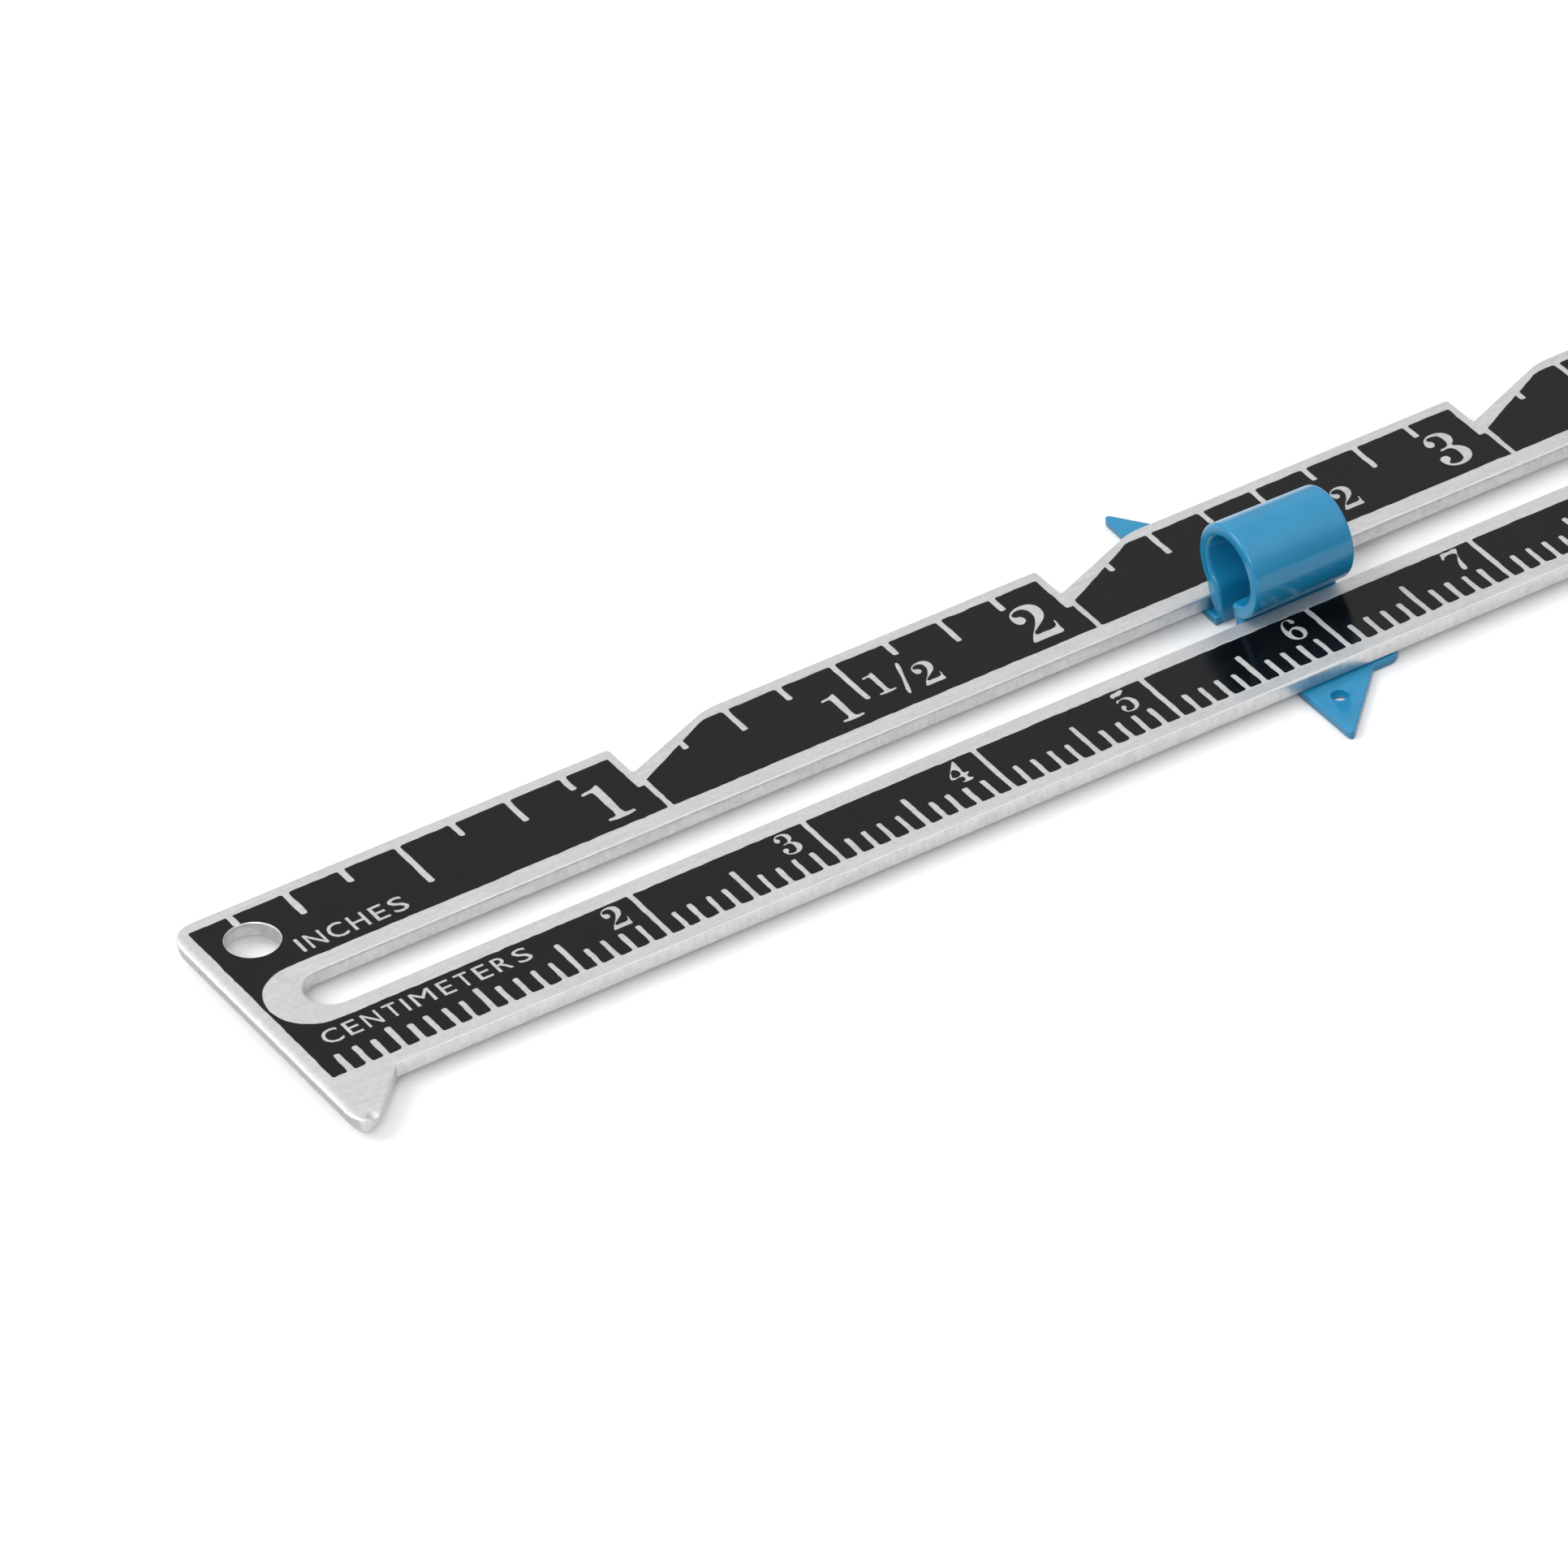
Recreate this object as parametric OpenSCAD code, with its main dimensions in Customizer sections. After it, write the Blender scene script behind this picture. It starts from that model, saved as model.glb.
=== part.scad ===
// Sliding sewing gauge: a flat aluminium rule with a slot, a hanging hole, a pointed corner
// and a notch at each inch, and a one-piece plastic slider whose legs pass through the slot.
// X runs along the rule from its zero end, +Y is the inch side, +Z is up, millimetres.
// The origin is on the surface below, under the middle of the whole gauge.

/* [Rule] */
// Length of the rule
blade_l = 152.4; // [115:0.1:205]
// Thickness of the aluminium
blade_t = 0.9; // [0.8:0.05:1.2]
// Width of the rail that carries the inch scale
far_rail_w = 6.8; // [6.6:0.05:9]
// Width of the rail that carries the centimetre scale
near_rail_w = 5.6; // [5.5:0.05:8]
// Radius of the rule's round corners
corner_r = 1; // [0.5:0.05:1.5]

/* [Slot] */
// Width of the slot
slot_w = 2.8; // [2.6:0.05:3.1]
// Metal left between the slot and each end of the rule
slot_end = 3.1; // [2.9:0.05:5]

/* [Hanging hole] */
// Diameter of the hole
hole_d = 2.8; // [2:0.05:2.9]
// Hole centre from the zero end
hole_in = 3.2; // [3:0.05:5]
// Hole centre from the inch edge
hole_down = 2.95; // [2.7:0.05:3.2]

/* [Pointed corner] */
// How far the point reaches past the centimetre edge
point_reach = 3.05; // [2:0.05:3.8]
// Radius of its blunt tip
point_r = 0.6; // [0.3:0.05:0.8]

/* [Inch notches] */
// Depth of the step at each inch
notch_d = 2.3; // [1.8:0.05:2.6]
// Length of the slope that leads out of the step
notch_l = 5.6; // [5:0.1:7]

/* [Enamel and its bare rims] */
// Thickness of the enamel
enamel_t = 0.06; // [0.04:0.01:0.1]
// Bare rim along the inch edge
rim_far = 0.75; // [0.6:0.05:0.9]
// Bare rim along the centimetre edge
rim_near = 0.85; // [0.7:0.05:1]
// Bare rim at the ends of the rule
rim_end = 0.87; // [0.7:0.01:0.95]
// Bare rim along both sides of the slot
rim_slot = 1.03; // [0.9:0.01:1.2]
// Bare rim beside the upright side of each notch
rim_step = 0.5; // [0.4:0.05:0.8]
// Bare metal under the root of each notch
rim_root = 1; // [0.8:0.05:1.2]
// Centre of the bare ring round each slot end, from the end of the rule
ring_in = 3.45; // [3.4:0.05:3.7]

/* [Scale lines] */
// Length of one inch on the scale
inch = 25.4; // [22:0.1:28]
// Width of a line
line_w = 0.28; // [0.2:0.01:0.35]
// Length of the eighth inch lines
eighth_l = 1.1; // [0.8:0.05:1.4]
// Length of the quarter inch lines
quarter_l = 1.9; // [1.6:0.05:2.3]
// Length of the half inch lines
half_l = 3.2; // [2.6:0.05:3.6]
// Lower end of the short line on each slope, from the enamel's edge
slope_line_l = 1.5; // [1.4:0.05:1.8]
// Length of one centimetre on the scale
centimetre = 10; // [9:0.1:11]
// Length of the millimetre lines
mm_l = 1.45; // [1:0.05:1.6]
// Length of the half centimetre lines
half_cm_l = 2.45; // [2:0.05:2.8]
// Length of the longer lines in the first centimetre
first_cm_l = 1.85; // [1.6:0.05:2]

/* [Figures] */
// Height of the whole inch figures
inch_figure_h = 2.9; // [2.2:0.05:3.1]
// Height of the half inch figures
half_figure_h = 2.25; // [1.8:0.05:2.5]
// Height of the two figures of a fraction
fraction_h = 1.8; // [1.5:0.05:2]
// Rise of a fraction's upper figure over its lower one
fraction_rise = 0.65; // [0.4:0.05:0.8]
// Height of the centimetre figures
cm_figure_h = 1.72; // [1.3:0.02:1.8]
// Gap between an inch figure and its line
inch_figure_gap = 1.45; // [1:0.05:2]
// Gap between a half inch figure and its line
half_figure_gap = 0.85; // [0.6:0.05:1.2]
// Gap between a fraction and its half inch line
fraction_gap = 0.4; // [0.3:0.05:0.8]
// Gap between a centimetre figure and its line
cm_figure_gap = 0.95; // [0.7:0.05:1.2]
// Gap between the inch figures and the enamel's lower edge
figure_foot = 0.7; // [0.5:0.05:0.9]
// Gap between the centimetre figures and the enamel's upper edge
figure_head = 0.33; // [0.25:0.01:0.5]

/* [Slider] */
// Length of the slider along the rule
slider_l = 6.05; // [5.5:0.05:8]
// Left end of the slider from the zero end, as the gauge is set
slider_at = 56.6; // [40:0.1:70]
// Outside diameter of the finger loop
loop_d = 4.96; // [4.8:0.02:5.4]
// Wall of the loop and of its two legs
loop_wall = 0.64; // [0.6:0.02:0.72]
// Loop axis towards the centimetre side from the slot's middle
loop_aside = 0.45; // [0.3:0.05:0.6]
// Height of the loop's underside above the rule
loop_lift = 0.12; // [0.1:0.01:0.3]
// Play between each leg and the slot's edge
leg_play = 0.12; // [0.08:0.01:0.2]
// How far the near leg stands back from the loop's left end
leg_back = 0.25; // [0.1:0.05:0.6]
// Thickness of the two foot plates
foot_t = 0.5; // [0.45:0.05:0.7]
// Play between the foot plates and the rule
foot_play = 0.04; // [0.02:0.01:0.1]
// How far the foot plates reach past the rule's edges
foot_over = 0.1; // [0.05:0.05:0.3]
// Radius of the foot plates' free corners
foot_r = 0.8; // [0.4:0.05:1]
// Reach of the near pointer past the centimetre edge
near_point = 3.95; // [3.9:0.05:5]
// Reach of the far pointer past the inch edge
far_point = 2.75; // [2.2:0.05:4]
// Lean of the far pointer's tip away from the slider's left end
far_lean = 0.3; // [0:0.05:0.5]
// Slope of the near pointer's slanted side, in degrees
near_slope = 45; // [42:1:48]
// Slope of the far pointer's slanted side, in degrees
far_slope = 54; // [45:1:58]
// Radius of the pointers' tips
pointer_r = 0.25; // [0.2:0.02:0.4]
// Diameter of the pivot hole in the near pointer
pivot_d = 0.88; // [0.6:0.02:1]
// Pivot hole's centre from the slider's left edge
pivot_in = 1.4; // [1.2:0.05:1.5]
// Pivot hole's centre past the centimetre edge
pivot_out = 1.15; // [1:0.05:1.3]

/* [Hidden] */

// Round edges on the true circles, and steps in a drawn bend
$fn = 48;
bend_steps = 8;
corner_steps = 6;
// How far a cut runs past what it cuts
overrun = 1;

// A notch stands at each whole inch that leaves at least half an inch of rule beyond it
inches = round(blade_l / inch);
slot_r = slot_w / 2;
far_y = slot_r + far_rail_w;
near_y = -slot_r - near_rail_w;
blade_z = foot_t + foot_play;
top_z = blade_z + blade_t;
// The whole gauge is centred between the two pointer tips
home = [-blade_l / 2, (near_point - near_y - far_y - far_point) / 2, 0];

// Sharp apex of the pointed corner, before its tip is rounded
point_apex = point_reach + point_r * sqrt(2);
enamel_far_y = far_y - rim_far;
enamel_near_y = near_y + rim_near;
ring_r = slot_r + rim_slot;
eighths = 8;
eighth_inch = inch / eighths;
last_eighth = floor((blade_l - rim_end - line_w) / eighth_inch);
tenths = 10;
millimetre = centimetre / tenths;
last_mm = floor((blade_l - rim_end - line_w) / millimetre);
// The first line is the second millimetre's, beside the rim, and the first figure is a 2
first_mm = 2;
first_cm = 2;

loop_r = loop_d / 2;
loop_z = top_z + loop_lift + loop_r;
leg_out = slot_r - leg_play;
leg_in = leg_out - loop_wall;

// Points on a bend: radii are its reach in x and in y, and the angles are in degrees
function bend(centre, radii, from, to, steps) =
    [for (i = [0:steps])
        let (a = from + (to - from) * i / steps)
        centre + [radii.x * cos(a), radii.y * sin(a)]];

function arc(centre, r, from, to, steps) = bend(centre, [r, r], from, to, steps);

// Closed bowl of a figure, as two bends that overlap a little
function bowl(centre, radii) =
    [bend(centre, radii, -5, 185, bend_steps), bend(centre, radii, 175, 365, bend_steps)];

// Drawn figures are one high and stand on y = 0: all of this is in shares of the height
figure_w_share = 0.6;
pen_share = 0.14;
figure_step_share = 0.74;
slash_at_share = 0.78;
slash_w_share = 0.47;
halver_at_share = 1.42;
low_share = pen_share / 2;
high_share = 1 - low_share;
six_shares = concat(
    bowl([0.3, 0.29], [0.22, 0.22]),
    [[[0.08, 0.28], [0.11, 0.54], [0.23, 0.78], [0.46, high_share]]]);
nine_shares = [for (stroke = six_shares) [for (p = stroke) [figure_w_share, 1] - p]];
// Pen strokes of each figure from 0 to 9
figure_shares = [
    bowl([0.3, 0.5], [0.22, 0.43]),
    [[[0.34, 0], [0.34, 1]], [[0.12, 0.77], [0.34, high_share]], [[0.1, low_share], [0.58, low_share]]],
    [concat(arc([0.3, 0.7], 0.23, 160, -35, bend_steps), [[0.09, low_share]]),
     [[0.03, low_share], [0.57, low_share]]],
    [arc([0.29, 0.72], 0.21, 155, -90, bend_steps), arc([0.29, 0.29], 0.22, 90, -155, bend_steps)],
    [[[0.43, 0], [0.43, 1]], [[0.43, 0.95], [0.06, 0.31]], [[0.01, 0.3], [0.6, 0.3]]],
    [[[0.11, high_share], [0.54, high_share]], [[0.16, high_share], [0.13, 0.48]],
     arc([0.29, 0.31], 0.24, 125, -150, bend_steps)],
    six_shares,
    [[[0.04, high_share], [0.57, high_share]], [[0.53, high_share], [0.36, 0.55], [0.25, 0]]],
    concat(bowl([0.3, 0.74], [0.19, 0.19]), bowl([0.3, 0.29], [0.22, 0.22])),
    nine_shares];

// Unit vector square to a drawn line at its point i
function across(path, i) =
    let (d = path[min(i + 1, len(path) - 1)] - path[max(i - 1, 0)])
    [-d.y, d.x] / norm(d);

module pen(path) {
    last = len(path) - 1;
    half = pen_share / 2;
    polygon(concat(
        [for (i = [0:last]) path[i] + half * across(path, i)],
        [for (i = [last:-1:0]) path[i] - half * across(path, i)]));
}

module figure(digit) {
    for (stroke = figure_shares[digit]) pen(stroke);
}

// A whole number whose last figure ends at x = 0
module number(value, h) {
    scale(h) {
        translate([-figure_w_share, 0]) figure(value % tenths);
        if (value >= tenths)
            translate([-figure_w_share - figure_step_share, 0]) figure(floor(value / tenths));
    }
}

// One half: a raised 1, a slash and a lowered 2, which starts at x = 0
module one_half(h) {
    rise_share = fraction_rise / h;
    scale(h) {
        translate([0, rise_share]) figure(1);
        translate([slash_at_share, 0]) pen([[0, 0], [slash_w_share, 1 + rise_share]]);
        translate([halver_at_share, 0]) figure(2);
    }
}

module blade_outline() {
    polygon(concat(
        arc([point_r, near_y - point_reach + point_r], point_r, 180, 315, corner_steps),
        [[point_apex, near_y]],
        arc([blade_l - corner_r, near_y + corner_r], corner_r, 270, 360, corner_steps),
        arc([blade_l - corner_r, far_y - corner_r], corner_r, 0, 90, corner_steps),
        [for (i = [inches - 1:-1:1])
            for (p = [[notch_l, 0], [0, -notch_d], [0, 0]])
                [i * inch, far_y] + p],
        arc([corner_r, far_y - corner_r], corner_r, 90, 180, corner_steps)));
}

// A long hole or rim with round ends, whose end circles stand at_x in from each end of the rule
module long_round(r, at_x) {
    for (x = [at_x, blade_l - at_x])
        translate([x, 0]) circle(r);
    translate([at_x, -r]) square([blade_l - 2 * at_x, 2 * r]);
}

module hanging_hole() {
    translate([hole_in, far_y - hole_down]) circle(d = hole_d);
}

module blade() {
    color("silver")
    translate(home + [0, 0, blade_z])
    linear_extrude(blade_t)
    difference() {
        blade_outline();
        long_round(slot_r, slot_end + slot_r);
        hanging_hole();
    }
}

// Enamel of the inch that starts at i inches, down to the slot's middle
module inch_field(i) {
    start = i * inch;
    end = start + inch;
    first = i == 0;
    last = i == inches - 1;
    root_y = far_y - notch_d - rim_root;
    polygon(concat(
        first
            ? [[rim_end, 0], [rim_end, enamel_far_y]]
            : [[start, 0], [start, root_y], [start + line_w / 2, root_y],
               [start + notch_l - rim_step, enamel_far_y]],
        last
            ? [[blade_l - rim_end, enamel_far_y], [blade_l - rim_end, 0]]
            : [[end - rim_step, enamel_far_y], [end - rim_step, root_y - rim_step / 2],
               [end, root_y - rim_step / 2], [end, 0]]));
}

// The line of a whole inch runs down to the slot's bare rim
function inch_line_l(n) =
    n % eighths == 0 ? enamel_far_y :
    n % (eighths / 2) == 0 ? half_l :
    n % (eighths / 4) == 0 ? quarter_l :
    n % eighths == 1 && n > eighths ? slope_line_l : eighth_l;

module inch_lines() {
    for (n = [1:last_eighth])
        translate([n * eighth_inch - line_w / 2, enamel_far_y - inch_line_l(n)])
        square([line_w, inch_line_l(n) + overrun]);
}

module inch_figures() {
    foot_y = ring_r + figure_foot;
    for (i = [1:inches])
        translate([i * inch - inch_figure_gap, foot_y]) number(i, inch_figure_h);
    for (i = [1:inches - 1]) {
        half_x = i * inch + inch / 2;
        translate([half_x - half_figure_gap, foot_y]) number(i, half_figure_h);
        translate([half_x + fraction_gap, foot_y]) one_half(fraction_h);
    }
}

module enamel(rgb) {
    color(rgb)
    translate(home + [0, 0, top_z])
    linear_extrude(enamel_t)
    difference() {
        children(0);
        long_round(ring_r, ring_in);
        hanging_hole();
        children(1);
    }
}

module inch_scale_enamel() {
    enamel([0.13, 0.13, 0.14]) {
        for (i = [0:inches - 1]) inch_field(i);
        union() {
            inch_lines();
            inch_figures();
        }
    }
}

function mm_line_l(mm) =
    mm % tenths == 0 && mm > tenths ? -ring_r - enamel_near_y + overrun / 2 :
    mm % (tenths / 2) > 0 ? mm_l :
    mm <= tenths ? first_cm_l : half_cm_l;

module centimetre_lines() {
    for (mm = [first_mm:last_mm])
        translate([mm * millimetre - line_w / 2, enamel_near_y - overrun])
        square([line_w, mm_line_l(mm) + overrun]);
}

module centimetre_figures() {
    for (cm = [first_cm:floor(last_mm / tenths)])
        translate([cm * centimetre - cm_figure_gap, -ring_r - figure_head - cm_figure_h])
        number(cm, cm_figure_h);
}

module centimetre_scale_enamel() {
    enamel([0.13, 0.13, 0.14]) {
        translate([rim_end, enamel_near_y])
        square([blade_l - 2 * rim_end, -enamel_near_y]);
        union() {
            centimetre_lines();
            centimetre_figures();
        }
    }
}

// Foot plate and pointer on the -Y side, where edge is the rule's edge on that side
module foot(edge, reach, lean, slope) {
    half_tip = (90 - slope) / 2;
    apex = reach + pointer_r * (1 / tan(half_tip) - 1);
    plate_y = -edge - foot_over;
    polygon(concat(
        [[0, -leg_in]],
        arc([lean + pointer_r, pointer_r - edge - reach], pointer_r, 180, 270 + slope, corner_steps),
        [[lean + (apex - foot_over) / tan(slope), plate_y]],
        arc([slider_l - foot_r, plate_y + foot_r], foot_r, 270, 360, corner_steps),
        [[slider_l, -leg_in]]));
}

// Section of the loop with one leg, seen along the rule: side is 1 for the far leg
module loop_section(side) {
    difference() {
        union() {
            translate([-loop_aside, loop_z]) circle(loop_r);
            translate([side > 0 ? leg_in : -leg_out, 0]) square([loop_wall, loop_z]);
        }
        translate([-loop_aside, loop_z]) circle(loop_r - loop_wall);
        translate([-leg_in, 0]) square([2 * leg_in, loop_z]);
    }
}

// Raises a section so that its x runs along Y and it is drawn out along X
module along_x(l) {
    rotate([90, 0, 90]) linear_extrude(l) children();
}

module slider() {
    color([0.2, 0.56, 0.8])
    translate(home + [slider_at, 0, 0])
    difference() {
        union() {
            along_x(slider_l) loop_section(1);
            translate([leg_back, 0, 0]) along_x(slider_l - leg_back) loop_section(-1);
            linear_extrude(foot_t) foot(-near_y, near_point, 0, near_slope);
            linear_extrude(foot_t) mirror([0, 1]) foot(far_y, far_point, far_lean, far_slope);
        }
        translate([pivot_in, near_y - pivot_out, -overrun])
        cylinder(h = foot_t + 2 * overrun, d = pivot_d);
    }
}

blade();
inch_scale_enamel();
centimetre_scale_enamel();
slider();
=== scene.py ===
import math
import random

import bmesh
import bpy
from mathutils import Matrix, Vector, noise


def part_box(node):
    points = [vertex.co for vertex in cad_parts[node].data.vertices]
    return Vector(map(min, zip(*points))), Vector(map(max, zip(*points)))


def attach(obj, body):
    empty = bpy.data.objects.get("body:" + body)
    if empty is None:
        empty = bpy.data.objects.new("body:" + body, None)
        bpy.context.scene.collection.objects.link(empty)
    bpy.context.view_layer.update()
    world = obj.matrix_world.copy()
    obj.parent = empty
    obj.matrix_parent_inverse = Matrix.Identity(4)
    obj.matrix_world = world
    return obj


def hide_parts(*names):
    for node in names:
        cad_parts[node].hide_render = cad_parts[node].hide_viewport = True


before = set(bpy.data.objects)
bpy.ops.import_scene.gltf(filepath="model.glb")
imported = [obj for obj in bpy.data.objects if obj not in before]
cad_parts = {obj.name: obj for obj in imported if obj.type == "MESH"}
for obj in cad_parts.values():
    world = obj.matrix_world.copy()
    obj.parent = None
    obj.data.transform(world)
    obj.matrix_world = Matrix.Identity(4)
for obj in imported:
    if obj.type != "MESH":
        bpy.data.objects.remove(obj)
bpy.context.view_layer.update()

# The rule: 0.9 mm aluminium sheet, blanked in one stroke with its slot, hanging hole, pointed
# corner and inch notches, then tumbled, which leaves every edge a little round and bright; the
# brightness of its rims is a painted highlight in the material.
# It is drawn in millimetres, x from its zero end and y from the middle of its slot.
mm = 0.001
rule_low, rule_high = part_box("blade")
rule_l = (rule_high.x - rule_low.x) / mm
rule_t = (rule_high.z - rule_low.z) / mm
inch_edge, near_edge, point_low = 8.2, -7.0, -10.9
inch, inches = 25.4, 6
point_r, corner_r, worn_corner_r, inner_corner_r = 0.95, 1, 1.4, 0.08
notch_l, notch_depth, notch_bend_r, notch_lip_r = 5.6, 2.3, 3.2, 0.25
slot_end, slot_r = 4.5, 1.4
hole_x, hole_y, hole_r = 3.2, inch_edge - 2.95, 1.4
sheet_rim = 0.14
snap = 1e-5


def tangent_length(v, r):
    """How far from corner v a curve of radius r meets its two sides."""
    a, b = [e.other_vert(v).co - v.co for e in v.link_edges]
    return r / math.tan(a.angle(b) / 2)


def blank(bm, corners, steps=6):
    """A flat blank with the given corners (x, y, radius), each rounded to its radius."""
    verts = [bm.verts.new((x, y, 0)) for x, y, r in corners]
    bm.faces.new(verts)
    for v, (x, y, r) in zip(verts, corners):
        if r:
            bmesh.ops.bevel(
                bm, geom=[v], offset=tangent_length(v, r), offset_type="OFFSET", segments=steps,
                profile=0.5, affect="VERTICES", material=-1)


def punch(bm, x, y, r, pull=0, steps=40):
    """A round hole's edge, or with pull a long hole's that ends that much further along x."""
    turn = Matrix.Translation((x, y, 0)) @ Matrix.Rotation(math.pi / steps, 4, "Z")
    ring = bmesh.ops.create_circle(bm, cap_ends=False, segments=steps, radius=r, matrix=turn)["verts"]
    bmesh.ops.translate(bm, verts=[v for v in ring if v.co.x > x], vec=(pull, 0, 0))


def fill_blank(bm):
    """The flat sheet between the outline and the holes."""
    bmesh.ops.delete(bm, geom=bm.faces[:], context="FACES_ONLY")
    bmesh.ops.triangle_fill(bm, edges=bm.edges[:], use_beauty=True, normal=(0, 0, 1))


def thicken(bm, thickness, rim, steps=3):
    """Gives the flat sheet its thickness, half each way, with its rims rounded to radius rim."""
    flat = bm.faces[:]
    up = bmesh.ops.extrude_face_region(bm, geom=flat)["geom"]
    bmesh.ops.delete(bm, geom=flat, context="FACES_ONLY")
    bmesh.ops.translate(
        bm, verts=[g for g in up if isinstance(g, bmesh.types.BMVert)], vec=(0, 0, thickness / 2 - rim))
    top = [g for g in up if isinstance(g, bmesh.types.BMFace)]
    for i in range(steps):
        a, b = i * math.pi / 2 / steps, (i + 1) * math.pi / 2 / steps
        bmesh.ops.inset_region(
            bm, faces=top, use_boundary=True, use_even_offset=True,
            thickness=rim * (math.cos(a) - math.cos(b)), depth=rim * (math.sin(b) - math.sin(a)))
    bmesh.ops.mirror(
        bm, geom=bm.verts[:] + bm.edges[:] + bm.faces[:], matrix=Matrix(), merge_dist=1e-4, axis="Z")
    bmesh.ops.recalc_face_normals(bm, faces=bm.faces[:])


def make_piece(name, bm, place, finish, body, nodes):
    """Turns millimetres at the given place into a finished piece of the gauge."""
    sharpest = math.radians(40)
    bmesh.ops.transform(bm, matrix=place @ Matrix.Scale(mm, 4), verts=bm.verts[:])
    for face in bm.faces:
        face.smooth = True
    for edge in bm.edges:
        edge.smooth = len(edge.link_faces) == 2 and edge.calc_face_angle() < sharpest
    mesh = bpy.data.meshes.new(name)
    bm.to_mesh(mesh)
    bm.free()
    piece = bpy.data.objects.new(name, mesh)
    bpy.context.scene.collection.objects.link(piece)
    mesh.materials.append(finish)
    even = piece.modifiers.new("even_faces", "WEIGHTED_NORMAL")
    even.keep_sharp = True
    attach(piece, body)
    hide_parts(*nodes)


def wire(tree, node, inputs):
    """Links each input of a node to the socket given for it, or sets it to the plain value."""
    for key, value in inputs.items():
        if isinstance(value, bpy.types.NodeSocket):
            tree.links.new(value, node.inputs[key])
        else:
            node.inputs[key].default_value = value


def node_maker(tree):
    """A function that adds a node to the tree, with its settings made and its inputs wired."""
    def add(kind, inputs=None, **settings):
        node = tree.nodes.new(kind)
        for key, value in settings.items():
            setattr(node, key, value)
        wire(tree, node, inputs or {})
        return node

    return add


def new_finish(name):
    """A material with its nodes, its shader and a function that adds a node to it."""
    material = bpy.data.materials.new(name)
    material.use_nodes = True
    tree = material.node_tree
    return material, tree, tree.nodes["Principled BSDF"], node_maker(tree)


def speckle(add, vector, scale, detail, roughness):
    """A noise of the given size and make, from 0 to 1."""
    return add("ShaderNodeTexNoise", {
        "Vector": vector, "Scale": scale, "Detail": detail, "Roughness": roughness}).outputs["Fac"]


def stretch(add, vector, scale):
    """The place on the piece, with each axis times its own scale."""
    return add("ShaderNodeMapping", {"Vector": vector, "Scale": scale}).outputs[0]


def fade(add, value, low, high, at_low=0, at_high=1, **settings):
    """Goes from at_low to at_high while the value goes from low to high."""
    return add("ShaderNodeMapRange", {
        "Value": value, "From Min": low, "From Max": high, "To Min": at_low, "To Max": at_high},
        **settings).outputs[0]


def reckon(add, operation, *values):
    """A Math node's result: the operation on one to three values."""
    return add("ShaderNodeMath", dict(enumerate(values)), operation=operation).outputs[0]


def between(add, factor, a, b, **settings):
    """The mix of a and b at the factor, of numbers unless the settings say colours."""
    return add("ShaderNodeMix", {"Factor": factor, "A": a, "B": b}, **settings).outputs["Result"]


def ramp(add, factor, stops):
    """The colour at the factor on a ramp through the given places and colours."""
    node = add("ShaderNodeValToRGB", {"Fac": factor})
    elements = node.color_ramp.elements
    for element, (place, colour) in zip(elements, (stops[0], stops[-1])):
        element.position = place
        element.color = (*colour, 1)
    for place, colour in stops[1:-1]:
        elements.new(place).color = (*colour, 1)
    return node.outputs["Color"]


aluminium, tree, shader, add = new_finish("tumbled_aluminium")
where = add("ShaderNodeTexCoord")
spot = where.outputs["Object"]
place = add("ShaderNodeSeparateXYZ", {"Vector": spot})
facing = add("ShaderNodeSeparateXYZ", {"Vector": where.outputs["Normal"]})

# Long streaks of the rolling mill and fine grain on the flats, shear marks on the cut edges
streaks = speckle(add, stretch(add, spot, (260, 5200, 5200)), 1, 4, 0.6)
grain = speckle(add, spot, 3600, 3, 0.65)
shear_marks = speckle(add, stretch(add, spot, (3800, 3800, 1900)), 1, 3, 0.6)
is_flat = fade(add, reckon(add, "ABSOLUTE", facing.outputs["Z"]), 0.55, 0.9)
marks = between(add, is_flat, shear_marks, between(add, 0.55, streaks, grain))
tone = ramp(add, marks, [(0.3, (0.68, 0.685, 0.695)), (0.7, (0.82, 0.82, 0.815))])

# The brightness is painted by facing: rims that face up get a painted highlight, broken up by rub
# marks, the cut edges below them get painted shade, and the zero end gets painted light and shade
rubs = speckle(add, stretch(add, spot, (900, 2400, 2400)), 1, 3, 0.6)
upward = fade(add, facing.outputs["Z"], -1, 1, -0.06, 0.94)
sheen_levels = ((0, 0.95), (0.12, 0.8), (0.34, 0.7), (0.48, 0.8), (0.62, 1.0), (0.78, 1.2),
                 (0.92, 1.12), (0.98, 0.98), (1, 0.97))
painted_sheen = ramp(add, reckon(add, "MULTIPLY_ADD", rubs, 0.12, upward),
              [(share, (level, level, level)) for share, level in sheen_levels])
grain_and_sheen = between(add, 1, tone, painted_sheen, data_type="RGBA", blend_type="MULTIPLY")
# Painted light and shade at the zero end: faces that look up are painted lighter, its end face darker
painted_end_light = fade(add, facing.outputs["Z"], 0.2, 0.7, 0.8, 1.08)
end_light_until, end_light_gone_by = rule_low.x + 0.2 * mm, rule_low.x + 0.35 * mm
end_light = fade(add, place.outputs["X"], end_light_until, end_light_gone_by, painted_end_light, 1)
grain_sheen_and_end_light = add("ShaderNodeVectorMath", {0: grain_and_sheen, "Scale": end_light}, operation="SCALE").outputs[0]

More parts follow.
